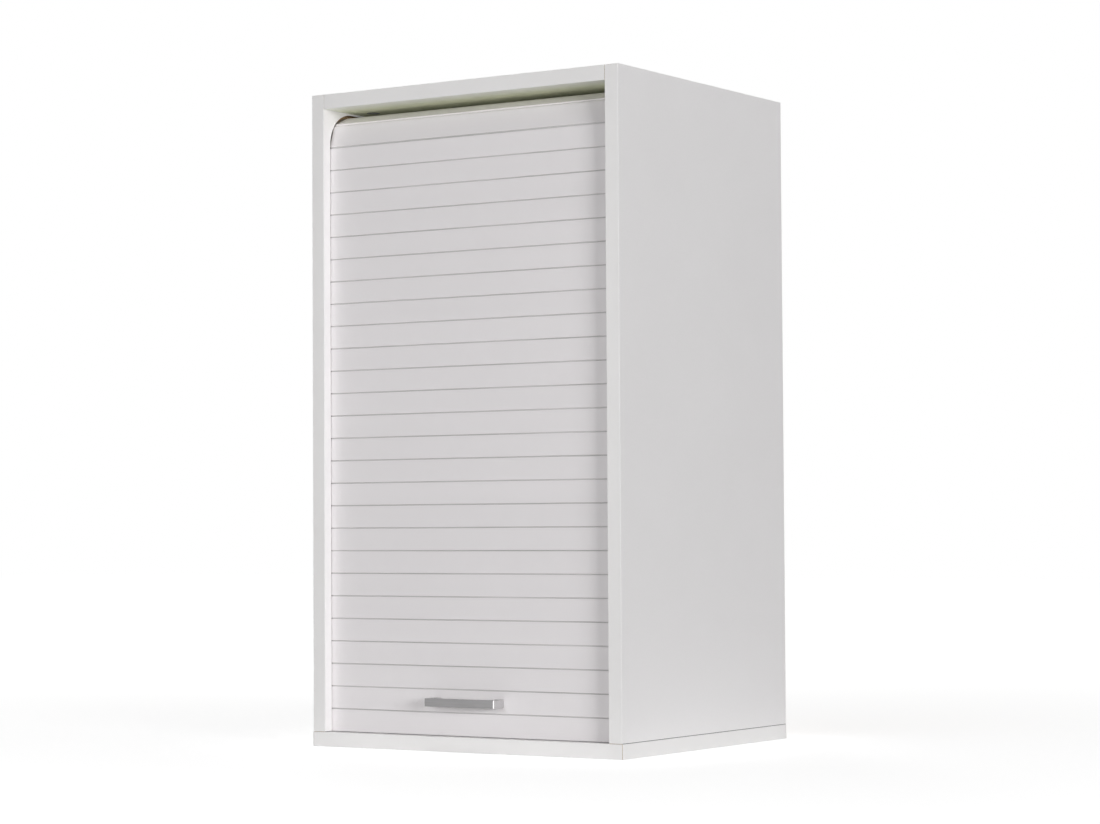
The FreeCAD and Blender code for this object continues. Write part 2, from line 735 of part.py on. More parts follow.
def make_lowest_slat():
    """The end slat: no socket, and a slot for the seal in its foot."""
    body = new_body("slat_01")
    cut_length = slat_section(body, lowest=True)
    cut_chambers(body, cut_length, "(seal_height + slat_wall)")
    slot = sketch_on(body, "YZ_Plane", "seal_slot")
    slot_half = "(seal_width / 2 + seal_play)"
    rectangle(slot, f"-{slot_half}", slot_half, f"-{OVERRUN}", "seal_height")
    pocket(body, slot, cut_length, both_ways=True)
    return body


def make_common_slat(name):
    """A slat with a bead at its top and a socket at its foot. The socket's mouth lets the neck
    below swing back as the shutter goes round the bend."""
    body = new_body(name)
    cut_length = slat_section(body, lowest=False)
    socket = sketch_on(body, "YZ_Plane", "socket")
    circle(socket, "0", "0", SOCKET_RADIUS)
    pad(body, socket, f"2 * {SLAT_HALF}", both_ways=True)
    bore = sketch_on(body, "YZ_Plane", "socket_bore")
    circle(bore, "0", "0", SOCKET_BORE)
    pocket(body, bore, cut_length, both_ways=True)
    mouth = sketch_on(body, "YZ_Plane", "socket_mouth")
    reach = f"(2 * {SOCKET_RADIUS})"
    corners = [
        ("0", "0"),
        (f"-{reach} * sin(mouth_front_angle * 1 deg)", f"-{reach} * cos(mouth_front_angle * 1 deg)"),
        (f"{reach} * sin(mouth_back_angle * 1 deg)", f"-{reach} * cos(mouth_back_angle * 1 deg)"),
    ]
    outline(mouth, corners)
    pocket(body, mouth, cut_length, both_ways=True)
    cut_chambers(body, cut_length, f"({SOCKET_RADIUS} + slat_wall)")
    return body


def drill_handle_slat(body):
    """Two holes through the slat that carries the handle."""
    holes = sketch_on(body, "XZ_Plane", "handle_holes")
    for x in (f"-{HANDLE_SCREW_X}", HANDLE_SCREW_X):
        circle(holes, x, "handle_rise", "handle_screw_radius + fit_play")
    pocket(body, holes, f"slat_thickness + {OVERRUN}", both_ways=True)


def stand_slat(body, lower, upper):
    """Place a slat between its two hinge lines, turned to the line that joins them."""
    lean = math.degrees(math.atan2(upper[0] - lower[0], upper[1] - lower[1]))
    foot = FreeCAD.Vector(0, value(FRONT_Y) + lower[0], lower[1])
    body.Placement = FreeCAD.Placement(foot, FreeCAD.Rotation(X_AXIS, -lean))


def make_slats():
    lowest = make_lowest_slat()
    handle_slat = make_common_slat("slat_02")
    common = make_common_slat("slat_03")
    drill_handle_slat(handle_slat)
    slats = [lowest, handle_slat, common]
    for number in range(len(slats) + 1, SLAT_COUNT + 1):
        slats.append(copy_of(common, f"slat_{number:02d}"))
    hinges = hinge_points()
    for slat, lower, upper in zip(slats, hinges, hinges[1:]):
        stand_slat(slat, lower, upper)
    return slats


def make_bottom_seal():
    """The soft strip in the foot of the lowest slat."""
    half = "(seal_width / 2)"
    return block(
        "bottom_seal",
        f"-{INNER_HALF} + seal_clearance",
        f"({INNER_HALF} - seal_clearance)",
        f"({PATH_INSET} - {half})",
        f"({PATH_INSET} + {half})",
        "(board + seal_clearance)",
        f"({PATH_FOOT} + seal_height - seal_play)",
    )


def make_groove_stop(side, sign):
    """A block screwed into the rear run of the groove, where the open shutter ends."""
    body = new_body(f"groove_stop_{side}")
    core = sketch_on(body, "YZ_Plane", "core")
    half = "(groove_width / 2 - groove_play)"
    rectangle(core, f"-{half}", half, "-stop_height / 2", "stop_height / 2")
    pad(body, core, "groove_depth", backwards=sign < 0)
    seat = sketch_on(body, "YZ_Plane", "screw_seat")
    circle(seat, "0", "0", "screw_head_radius + fit_play")
    pocket(body, seat, f"{STOP_HEAD_DEPTH} + screw_head_height", forwards=sign > 0)
    hole = sketch_on(body, "YZ_Plane", "screw_hole")
    circle(hole, "0", "0", "screw_radius + fit_play")
    pocket(body, hole, f"groove_depth + {OVERRUN}", forwards=sign > 0)
    return place(body, signed(sign, INNER_HALF), REAR_RUN_MIDDLE, STOP_MIDDLE)


# Handle

def make_handle():
    """A square bow handle, drawn from the slat's face forwards."""
    body = new_body("handle")
    plan = sketch_on(body, "XY_Plane", "plan")
    half = "handle_length / 2"
    inside = f"({half} - handle_leg)"
    front = "-handle_stand"
    bar_back = f"({front} + handle_bar)"
    corners = [
        (f"-{half} + handle_corner", front),
        (f"{half} - handle_corner", front),
        (half, f"{front} + handle_corner"),
        (half, "0"),
        (inside, "0"),
        (inside, f"{bar_back} + handle_corner"),
        (f"{inside} - handle_corner", bar_back),
        (f"-{inside} + handle_corner", bar_back),
        (f"-{inside}", f"{bar_back} + handle_corner"),
        (f"-{inside}", "0"),
        (f"-{half}", "0"),
        (f"-{half}", f"{front} + handle_corner"),
    ]
    bends = {
        1: (f"{half} - handle_corner", f"{front} + handle_corner", "handle_corner", False),
        5: (f"{inside} - handle_corner", f"{bar_back} + handle_corner", "handle_corner", True),
        7: (f"-{inside} + handle_corner", f"{bar_back} + handle_corner", "handle_corner", True),
        11: (f"-{half} + handle_corner", f"{front} + handle_corner", "handle_corner", False),
    }
    outline(plan, corners, bends)
    pad(body, plan, "handle_height", both_ways=True)
    holes = sketch_on(body, "XZ_Plane", "screw_holes")
    for x in (f"-{HANDLE_SCREW_X}", HANDLE_SCREW_X):
        circle(holes, x, "0", "handle_screw_radius + fit_play")
    pocket(body, holes, "handle_screw_bite + hole_play", forwards=True)
    return place(body, "0", "(groove_setback + shutter_gap)", HANDLE_HEIGHT)


def make_handle_screws():
    """Two pan-head screws from behind the slat into the handle's legs."""
    first = new_body("handle_screws_1")
    reach = "(slat_thickness + handle_screw_bite)"
    profile = [
        ("0", f"-{reach}"),
        ("handle_screw_radius", f"-{reach}"),
        ("handle_screw_radius", "0"),
        ("handle_head_radius", "0"),
        ("handle_head_radius", "handle_head_height / 2"),
        ("handle_screw_radius", "handle_head_height"),
        ("0", "handle_head_height"),
    ]
    turned(first, "profile", profile)
    recess = sketch_on(first, "XY_Plane", "recess", "handle_head_height")
    cross(recess, "0", "0", "recess_reach", "recess_width")
    pocket(first, recess, "recess_depth")
    backwards = FreeCAD.Rotation(X_AXIS, -90)
    rear_face = "(groove_setback + shutter_gap + slat_thickness)"
    places = [(x, rear_face, HANDLE_HEIGHT, backwards) for x in (f"-{HANDLE_SCREW_X}", HANDLE_SCREW_X)]
    return fasteners("handle_screws", first, places)


# Fittings inside the carcass

def make_dowels():
    """Eight grooved wooden dowels, four at the foot and four at the top."""
    first = new_body("dowels_1")
    profile = [
        ("0", "0"),
        ("dowel_radius - dowel_bevel", "0"),
        ("dowel_radius", "dowel_bevel"),
        ("dowel_radius", "dowel_length - dowel_bevel"),
        ("dowel_radius - dowel_bevel", "dowel_length"),
        ("0", "dowel_length"),
    ]
    turned(first, "profile", profile)
    places = []
    for _, sign in SIDES:
        for y in DOWEL_PLACES:
            places.append((signed(sign, SIDE_MIDDLE), y, "board - dowel_short_bite", FreeCAD.Rotation()))
            inner_end = f"({INNER_HALF} - {DOWEL_LONG_BITE})"
            outwards = FreeCAD.Rotation(Y_AXIS, 90 * sign)
            places.append((signed(sign, inner_end), y, "cabinet_height - board / 2", outwards))
    return fasteners("dowels", first, places)


def make_cam_bolts():
    """Eight bolts, screwed into one board and held by a cam in the other."""
    first = new_body("cam_bolts_1")
    neck_foot = "(cam_setback - bolt_neck_length)"
    head_foot = "(cam_setback - bolt_head_height / 2)"
    profile = [
        ("0", "-bolt_thread_length"),
        ("bolt_thread_radius - bolt_tip", "-bolt_thread_length"),
        ("bolt_thread_radius", "-bolt_thread_length + bolt_tip"),
        ("bolt_thread_radius", "0"),
        ("bolt_flange_radius", "0"),
        ("bolt_flange_radius", "bolt_flange_height"),
        ("bolt_shank_radius", "bolt_flange_height"),
        ("bolt_shank_radius", neck_foot),
        ("bolt_neck_radius", neck_foot),
        ("bolt_neck_radius", head_foot),
        ("bolt_head_radius", head_foot),
        ("bolt_head_radius", f"{head_foot} + bolt_head_height"),
        ("0", f"{head_foot} + bolt_head_height"),
    ]
    turned(first, "profile", profile)
    places = []
    for _, sign in SIDES:
        for y in FITTING_PLACES:
            places.append((signed(sign, SIDE_MIDDLE), y, "board", FreeCAD.Rotation()))
            inwards = FreeCAD.Rotation(Y_AXIS, -90 * sign)
            places.append((signed(sign, INNER_HALF), y, "cabinet_height - board / 2", inwards))
    return fasteners("cam_bolts", first, places)


def make_cam_locks():
    """Eight cams, flush with their boards: four in the side panels, four in the top panel. A cam is
    drawn with its face at its origin, facing up, and its bolt coming in from -Y."""
    first = new_body("cam_locks_1")
    drum = sketch_on(first, "XY_Plane", "drum")
    circle(drum, "0", "0", "cam_radius")
    pad(first, drum, "cam_depth", backwards=True)
    slot = sketch_on(first, "XY_Plane", "bolt_slot", "-board / 2")
    half = "(bolt_head_radius + cam_slot_play)"
    rectangle(slot, f"-{half}", half, f"-cam_radius - {OVERRUN}", "bolt_head_height / 2 + cam_slot_play")
    pocket(first, slot, f"2 * {half}", both_ways=True)
    recess = sketch_on(first, "XY_Plane", "recess")
    cross(recess, "0", "0", "cam_recess_reach", "cam_recess_width")
    pocket(first, recess, "cam_recess_depth")
    places = []
    for _, sign in SIDES:
        for y in FITTING_PLACES:
            # The face looks into the cabinet and the bolt comes from below.
            upright = FreeCAD.Rotation(X_AXIS, 90)
            facing_in = FreeCAD.Rotation(Z_AXIS, -90 * sign).multiply(upright)
            places.append((signed(sign, INNER_HALF), y, "board + cam_setback", facing_in))
            # The face looks down and the bolt comes from the side panel.
            face_down = FreeCAD.Rotation(X_AXIS, 180)
            towards_side = FreeCAD.Rotation(Z_AXIS, -90 * sign).multiply(face_down)
            cam_x = f"({INNER_HALF} - cam_setback)"
            places.append((signed(sign, cam_x), y, SIDE_HEIGHT, towards_side))
    return fasteners("cam_locks", first, places)


def make_cam_covers():
    """Four caps over the cams in the side panels."""
    first = new_body("cam_covers_1")
    profile = [
        ("0", "0"),
        ("cover_radius", "0"),
        ("cover_radius", "cover_thickness / 2"),
        ("cover_radius - cover_thickness / 2", "cover_thickness"),
        ("0", "cover_thickness"),
    ]
    turned(first, "profile", profile)
    places = []
    for _, sign in SIDES:
        for y in FITTING_PLACES:
            inwards = FreeCAD.Rotation(Y_AXIS, -90 * sign)
            places.append((signed(sign, INNER_HALF), y, "board + cam_setback", inwards))
    return fasteners("cam_covers", first, places)


def make_shelf_pins():
    """Eight plug-in pins, four to a shelf, drawn with the peg along +X."""
    first = new_body("shelf_pins_1")
    peg = sketch_on(first, "YZ_Plane", "peg")
    circle(peg, "0", "0", "pin_radius")
    pad(first, peg, "pin_depth")
    head = sketch_on(first, "YZ_Plane", "head")
    half_width = "pin_head_width / 2"
    half_height = "pin_head_height / 2"
    rectangle(head, f"-{half_width}", half_width, f"-{half_height}", half_height)
    pad(first, head, "pin_head_length", backwards=True)
    places = []
    for hole in (LOWER_SHELF_HOLE_COUNT, UPPER_SHELF_HOLE_COUNT):
        height = f"board + pin_first_height + {hole} * pin_pitch"
        for _, sign in SIDES:
            outwards = FreeCAD.Rotation(Z_AXIS, 0 if sign > 0 else 180)
            places += [(signed(sign, INNER_HALF), y, height, outwards) for y in PIN_PLACES]
    return fasteners("shelf_pins", first, places)


def make_hanging_bracket(side, sign):
    """A bent steel bracket in the rear corner, its flange on the side panel and a keyhole in its
    web. It is drawn from the side panel's inner face inwards and from the rear plane forwards."""
    body = new_body(f"hanging_bracket_{side}")
    inwards = "-" if sign > 0 else ""
    bend = sketch_on(body, "XY_Plane", "bend")
    corners = [
        ("0", "0"),
        (f"{inwards}bracket_web", "0"),
        (f"{inwards}bracket_web", "-bracket_sheet"),
        (f"{inwards}bracket_sheet", "-bracket_sheet"),
        (f"{inwards}bracket_sheet", "-bracket_flange"),
        ("0", "-bracket_flange"),
    ]
    outline(bend, corners)
    pad(body, bend, "bracket_height")
    keyhole = sketch_on(body, "XZ_Plane", "keyhole")
    keyhole_x = f"{inwards}keyhole_inset"
    circle(keyhole, keyhole_x, "keyhole_height", "keyhole_radius")
    pocket(body, keyhole, f"2 * bracket_sheet + {OVERRUN}", both_ways=True)
    neck = sketch_on(body, "XZ_Plane", "keyhole_neck")
    neck_left = f"{keyhole_x} - keyhole_neck_radius"
    neck_right = f"{keyhole_x} + keyhole_neck_radius"
    neck_top = "keyhole_height + keyhole_neck_rise"
    corners = [
        (neck_left, "keyhole_height"),
        (neck_right, "keyhole_height"),
        (neck_right, neck_top),
        (keyhole_x, f"{neck_top} + keyhole_neck_radius"),
        (neck_left, neck_top),
    ]
    round_end = (keyhole_x, neck_top, "keyhole_neck_radius", False)
    outline(neck, corners, {2: round_end, 3: round_end})
    pocket(body, neck, f"2 * bracket_sheet + {OVERRUN}", both_ways=True)
    seats = sketch_on(body, "YZ_Plane", "screw_seats", f"{inwards}bracket_sheet")
    holes = sketch_on(body, "YZ_Plane", "screw_holes", f"{inwards}bracket_sheet")
    for z in ("bracket_screw_inset", "bracket_height - bracket_screw_inset"):
        circle(seats, "-bracket_flange / 2", z, "screw_head_radius + fit_play")
        circle(holes, "-bracket_flange / 2", z, "screw_radius + fit_play")
    pocket(body, seats, "screw_head_height", forwards=sign > 0)
    pocket(body, holes, f"bracket_sheet + {OVERRUN}", forwards=sign > 0)
    return place(body, signed(sign, INNER_HALF), "cabinet_depth", BRACKET_FOOT)


def make_panel_screws():
    """Six countersunk screws, two to a bracket and one to a groove stop."""
    first = new_body("panel_screws_1")
    profile = [
        ("0", "-screw_length"),
        ("screw_radius", "-screw_length + screw_tip"),
        ("screw_radius", "-screw_head_height"),
        ("screw_head_radius", "0"),
        ("0", "0"),
    ]
    turned(first, "profile", profile)
    recess = sketch_on(first, "XY_Plane", "recess")
    cross(recess, "0", "0", "recess_reach", "recess_width")
    pocket(first, recess, "recess_depth")
    places = []
    for _, sign in SIDES:
        inwards = FreeCAD.Rotation(Y_AXIS, -90 * sign)
        head_x = signed(sign, f"({INNER_HALF} - bracket_sheet)")
        places += [(head_x, BRACKET_SCREW_Y, z, inwards) for z in BRACKET_SCREW_HEIGHTS]
        head_x = signed(sign, f"({INNER_HALF} + {STOP_HEAD_DEPTH})")
        places.append((head_x, REAR_RUN_MIDDLE, STOP_MIDDLE, inwards))
    return fasteners("panel_screws", first, places)


# Checks and export

def check_features():
    """Every object is sound, every cut has removed something and every pad has added something."""
    for item in doc.Objects:
        if "Invalid" in item.State or "Error" in item.State:
            raise RuntimeError(f"{item.Name} is {item.State}")
        base = getattr(item, "BaseFeature", None)
        if base is None or item.TypeId not in ("PartDesign::Pad", "PartDesign::Pocket"):
            continue
        change = item.Shape.Volume - base.Shape.Volume
        adds = item.TypeId == "PartDesign::Pad"
        if (change > 0) != adds or abs(change) < value("fit_play") ** 3:
            raise RuntimeError(f"{item.Name} changes the volume by {change:.4f}")


def export(parts):
    for part in parts:
        if part.Shape.isNull() or not part.Shape.isValid():
            raise RuntimeError(f"{part.Label} has no valid shape")
    os.makedirs("parts", exist_ok=True)
    for part in parts:
        part.Shape.exportStep(os.path.join("parts", f"{part.Label}.step"))
        print(f"{part.Label}: {len(part.Shape.Solids)} solids, {part.Shape.Volume:.1f} mm3")


def main():
    parts = [make_bottom_board(), make_top_panel()]
    parts += [make_side_panel(side, sign) for side, sign in SIDES]
    parts += make_back_panels()
    parts += make_shelf("lower", LOWER_SHELF_HOLE_COUNT)
    parts += make_shelf("upper", UPPER_SHELF_HOLE_COUNT)
    parts += make_edging()
    parts += make_slats()
    parts += [make_bottom_seal(), make_handle(), make_handle_screws()]
    parts += [make_dowels(), make_cam_bolts(), make_cam_locks(), make_cam_covers(), make_shelf_pins()]
    for side, sign in SIDES:
        parts += [make_hanging_bracket(side, sign), make_groove_stop(side, sign)]
    parts.append(make_panel_screws())
    doc.recompute()
    check_features()
    export(parts)


main()
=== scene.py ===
import json
import math
from functools import cached_property

import bmesh
import bpy
from mathutils import Matrix, Vector

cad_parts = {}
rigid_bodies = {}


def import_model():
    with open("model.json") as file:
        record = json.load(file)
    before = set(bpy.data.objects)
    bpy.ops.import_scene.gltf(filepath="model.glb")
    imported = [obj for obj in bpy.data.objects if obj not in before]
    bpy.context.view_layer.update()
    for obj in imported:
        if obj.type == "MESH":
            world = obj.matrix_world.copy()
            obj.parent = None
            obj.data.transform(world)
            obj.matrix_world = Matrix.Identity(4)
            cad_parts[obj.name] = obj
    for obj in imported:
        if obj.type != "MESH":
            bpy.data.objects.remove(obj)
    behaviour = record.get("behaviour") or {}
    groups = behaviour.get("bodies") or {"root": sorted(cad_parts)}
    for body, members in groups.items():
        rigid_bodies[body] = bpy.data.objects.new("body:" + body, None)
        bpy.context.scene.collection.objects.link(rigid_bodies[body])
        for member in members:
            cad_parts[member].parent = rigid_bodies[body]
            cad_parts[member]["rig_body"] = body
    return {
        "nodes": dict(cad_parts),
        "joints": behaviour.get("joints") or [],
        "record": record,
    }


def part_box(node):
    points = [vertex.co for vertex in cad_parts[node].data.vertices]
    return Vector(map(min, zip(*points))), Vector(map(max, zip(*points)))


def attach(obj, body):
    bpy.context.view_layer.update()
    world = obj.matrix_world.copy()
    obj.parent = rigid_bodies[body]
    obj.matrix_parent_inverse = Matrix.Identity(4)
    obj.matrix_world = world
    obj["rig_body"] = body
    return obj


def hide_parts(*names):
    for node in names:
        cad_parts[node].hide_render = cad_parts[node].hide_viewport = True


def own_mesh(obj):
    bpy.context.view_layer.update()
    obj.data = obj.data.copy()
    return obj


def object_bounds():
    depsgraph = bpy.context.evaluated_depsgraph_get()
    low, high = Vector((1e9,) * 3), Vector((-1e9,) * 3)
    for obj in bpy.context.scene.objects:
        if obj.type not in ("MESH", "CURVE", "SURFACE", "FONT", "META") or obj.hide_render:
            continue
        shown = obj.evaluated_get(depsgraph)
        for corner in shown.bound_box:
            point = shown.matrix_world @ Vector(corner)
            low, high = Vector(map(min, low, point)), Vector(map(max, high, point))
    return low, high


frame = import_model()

# A white wall cabinet with a tambour shutter, on a pale floor in soft light. All lengths are in
# metres, in the frame's own axes: X to the right, Y to the back, Z up.

CAD_LOW, CAD_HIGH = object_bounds()
CENTRE = (CAD_LOW + CAD_HIGH) / 2
NODES = frame["nodes"]
LIFT = frame["joints"][0]
SLOTS = {part["node"]: part["material_slot"] for part in frame["record"]["subparts"]}
UP = 2  # number of the vertical axis

# Camera, as solved from the corners of the cabinet in the photograph
PHOTO_WIDTH = 1100
FOCAL_PIXELS = 2928.14
SENSOR_WIDTH = 36.0
CAMERA_YAW = 0.57998713
CAMERA_PITCH = 0.0391628
CAMERA_ROLL = 0.0057882
CAMERA_PLACE = Vector((1.79404, -2.73615, 0.24))

# Pieces that are made finer than the solids
SLAT_ROUNDING = 0.00025
STRIP_ROUNDING = 0.00045
HANDLE_ROUNDING = 0.0004
ROUNDING_STEPS = 3
ROUND_PROFILE = 0.5
SHARP_ANGLE = math.radians(28)
SMOOTH_ANGLE = math.radians(40)
WELD_DISTANCE = 1e-6
FLAT_ANGLE = math.radians(0.5)
STRIP_JOINT = 0.0004  # what an edge strip lacks at each end
TOP_STRIP_JOINT = 0.0005  # and the one on the top panel, which shows more of a joint

# Places of painted light and shade, of dust and of colour on the pieces
COATING = 0.0003  # thickness of the boards' coating
PAINTED_OLIVE_SHADE_FROM = 0.004  # where the painted olive shade on the top panel's underside starts, behind its front edge
PAINTED_OLIVE_SHADE_FULLY = 0.033
PAINTED_FOOT_SHADOW_HEIGHT = 0.0006  # height of the painted shadow of the gap, with a little dirt, at the foot of an upright board
JOINT_DEPTHS = (0.0012, 0.0065)  # where painted shade and dust lie in the joints, behind the slats' faces
GROOVE_PAINTED_SHADE_FROM = 0.0002  # where the painted shade on a slat's end in the groove starts, beyond the side panel's face
GROOVE_PAINTED_SHADE_FULLY = 0.001
BEND_DROP = 0.04  # slats whose foot is nearer than this to the cabinet's top get no painted joint shade or dust in the bend

# Studio. A lamp's bearing is its angle from the cabinet's front towards its right side.
FLOOR_HALF = 9.0
FLOOR_NEAR = 0.45  # where the floor's own white starts to rise, from the cabinet's middle
FLOOR_FAR = 1.6  # where it is full
FLOOR_NEAR_STRENGTH = 0.86
FLOOR_COLOUR = (0.94, 0.94, 0.94, 1.0)
FLOOR_SHADOW_COLOUR = (0.4, 0.4, 0.4, 1.0)
SKY_COLOUR = (1.0, 1.0, 1.0, 1.0)
SKY_STRENGTH = 0.015
WHITE_STRENGTH = 1.0  # of what the camera sees as white
SPREADS = {"top": 4, "back": 40}  # how wide, in degrees, the lamps throw that light one side alone
LAMPS = {
    "key": {"bearing": 66, "away": 8.0, "height": 1.1, "width": 2.7, "rise": 2.2, "power": 389.0},
    "low": {"bearing": -2, "away": 2.0, "height": 0.42, "width": 1.2, "rise": 0.8, "power": 13.1},
    "top": {"bearing": 0, "away": 0.0, "height": 3.0, "width": 0.5, "rise": 0.46, "power": 0.27},
    "back": {"bearing": 222, "away": 3.4, "height": 0.34, "width": 1.0, "rise": 0.66, "power": 6.0},
}

# Colours, linear
BOARD_WHITE = (0.858, 0.844, 0.848)
# Painted light on the top panel's underside: lighter and ivory, and a painted olive shade of bounced
# light towards the back
UNDERSIDE_PAINTED_LIGHT = (0.96, 0.98, 0.89)
UNDERSIDE_PAINTED_OLIVE_SHADE = (0.885, 0.915, 0.69)
CHIP_PALE = (0.56, 0.40, 0.23)
CHIP_DARK = (0.28, 0.17, 0.08)
BACK_WHITE = (0.78, 0.78, 0.76)
FIBRE_BROWN = (0.36, 0.24, 0.14)
EDGING_WHITE = (0.86, 0.85, 0.846)
SLAT_WHITE = (0.815, 0.79, 0.80)
# painted shade in the slat joints, with dust
JOINT_SHADE_AND_DUST_GREY = (0.47, 0.463, 0.458)
# painted shadow of the gap at an upright board's foot, with a little dirt
PAINTED_GAP_SHADOW_GREY = (0.13, 0.127, 0.125)
# painted shade on the slats' ends in the grooves
GROOVE_PAINTED_SHADE_GREY = (0.20, 0.195, 0.19)
SEAL_GREY = (0.24, 0.24, 0.24)
# painted reflection on the handle: its face darker and its ends paler
HANDLE_FACE_PAINTED_SHADE_GREY = (0.26, 0.256, 0.258)
HANDLE_END_PAINTED_LIGHT_GREY = (0.62, 0.615, 0.618)
ZINC = (0.62, 0.63, 0.64)
CAM_GREY = (0.50, 0.50, 0.51)
BEECH = (0.62, 0.42, 0.24)
PLASTIC_WHITE = (0.80, 0.80, 0.79)

# Shares of a colour, and how far one colour replaces another at most
WORN_WHITE_SHARE = 1.08  # of the board's white, along its worn edges
DARK_BEECH_SHARE = 0.6  # of the beech's colour, in its flecks
FLECKED_SHARE = 0.8
# how far the painted shade in the grooves replaces the slat's colour at most
GROOVE_PAINTED_SHADE_SHARE = 0.8

# Noises. Scale is the number of features to the metre, and stretch the share of it along X, Y and
# Z. Low and high are what the noise stands for at its two ends: a tone, a roughness or a share.
NOISE_START, NOISE_STOP = 0.3, 0.7  # nearly all of a noise lies between
PLAIN_DETAIL = 2.0
BOARD_CLOUDS = {"scale": 7.0, "detail": 3.0, "low": 0.985, "high": 1.012}
BOARD_SPECKS = {"scale": 420.0, "detail": 1.0, "low": 0.992, "high": 1.006}
BOARD_WEAR = {"scale": 60.0, "low": 0.1, "high": 0.5}
BOARD_GRAIN = {"scale": 1500.0}
BOARD_ROUGHNESS = {"scale": 35.0, "detail": 3.0, "low": 0.40, "high": 0.50}
CHIPS = {"scale": 650.0, "detail": 3.0}
BACK_CLOUDS = {"scale": 9.0, "detail": 3.0, "low": 0.98, "high": 1.01}
BACK_FIBRES = {"scale": 900.0, "detail": 4.0, "stretch": (1.0, 1.0, 0.4)}
BACK_ROUGHNESS = {"scale": 35.0, "detail": 3.0, "low": 0.42, "high": 0.55}
SLAT_TONES = {"scale": 30.0, "detail": 1.0, "stretch": (0.02, 0.0, 1.0), "low": 0.985, "high": 1.012}
SLAT_CLOUDS = {"scale": 5.0, "detail": 3.0, "low": 0.99, "high": 1.01}
SLAT_JOINT_SHADE_AND_DUST = {"scale": 40.0, "stretch": (0.15, 0.0, 1.0), "low": 0.4, "high": 1.0}
SLAT_LINES = {"scale": 900.0, "stretch": (0.01, 1.0, 1.0)}
SLAT_ROUGHNESS = {"scale": 60.0, "stretch": (0.1, 1.0, 1.0), "low": 0.42, "high": 0.52}
STRIP_CLOUDS = {"scale": 11.0, "detail": 3.0, "low": 0.985, "high": 1.01}
STRIP_MARKS = {"scale": 700.0, "detail": 1.0, "stretch": (1.0, 1.0, 0.15)}
STRIP_ROUGHNESS = {"scale": 50.0, "low": 0.36, "high": 0.46}
PLASTIC_RIPPLES = {"scale": 260.0}
BRUSHING = {"scale": 1600.0, "stretch": (0.02, 1.0, 1.0)}
SATIN_CLOUDS = {"scale": 40.0, "low": 0.97, "high": 1.02}
SATIN_ROUGHNESS = {"scale": 300.0, "stretch": (0.02, 1.0, 1.0), "low": 0.30, "high": 0.38}
PLATE_PITS = {"scale": 1300.0, "detail": 3.0}
PLATE_STAINS = {"scale": 180.0}
WOOD_GRAIN = {"scale": 900.0, "detail": 4.0, "stretch": (1.0, 1.0, 0.15)}
MOULDED_CLOUDS = {"scale": 30.0, "low": 0.98, "high": 1.01}
MOULDED_GRAIN = {"scale": 1800.0}
MOULDED_STAINS = {"scale": 90.0}
SPANGLES_TO_THE_METRE = 450.0

# What a noise that is used twice stands for at its two ends, in each of its uses
FIBRE_TONES = (0.75, 1.2)
BRUSHING_TONES = (0.93, 1.05)
SPANGLE_TONES = (0.9, 1.05)
SPANGLE_REACH_SHARES = (0.0, 0.8)  # distances from a spangle's middle, as shares of its size
WOOD_ROUGHNESS = (0.6, 0.75)
PLATE_ROUGHNESS_AROUND = (-0.06, 0.08)  # from the roughness given for the piece
MOULDED_ROUGHNESS_AROUND = (-0.04, 0.05)

# Relief and roundings that only the light shows
BOARD_EDGE_ROUNDING = 0.0004
FITTING_EDGE_ROUNDING = 0.0002
ROUNDING_SAMPLES = 6
FULL_EDGE_MATCH = 0.8  # match of the plain and the rounded normal where an edge counts in full
BOARD_RELIEF = 0.000012
CHIP_RELIEF = 0.0004
FIBRE_RELIEF = 0.00001
SLAT_RELIEF = 0.000012
STRIP_MARK_RELIEF = 0.00001
STRIP_RELIEF = 0.000018
BRUSHING_RELIEF = 0.000006
PLATE_RELIEF = 0.00001
WOOD_RELIEF = 0.00004
MOULDED_RELIEF = 0.000012

# Gloss
COATING_IOR = 1.5
MOULDED_IOR = 1.46
BARE_CHIP_ROUGHER = 0.45
BARE_FIBRE_ROUGHER = 0.3
SEAL_ROUGHNESS = 0.7
ZINC_ROUGHNESS = 0.38
CAM_ROUGHNESS = 0.45
PLASTIC_ROUGHNESS = 0.42

# How far a surface has to face along an axis, from where a colour starts to where it is full
# where the top panel's painted underside light starts and where it is full
PAINTED_UNDERSIDE_FACING = (-0.9, -0.5)
FACING_BACK = (0.4, 0.6)
# where the handle's painted side light starts and where it is full
PAINTED_LIGHT_SIDEWAYS_FACING = (0.15, 0.9)


# Node trees

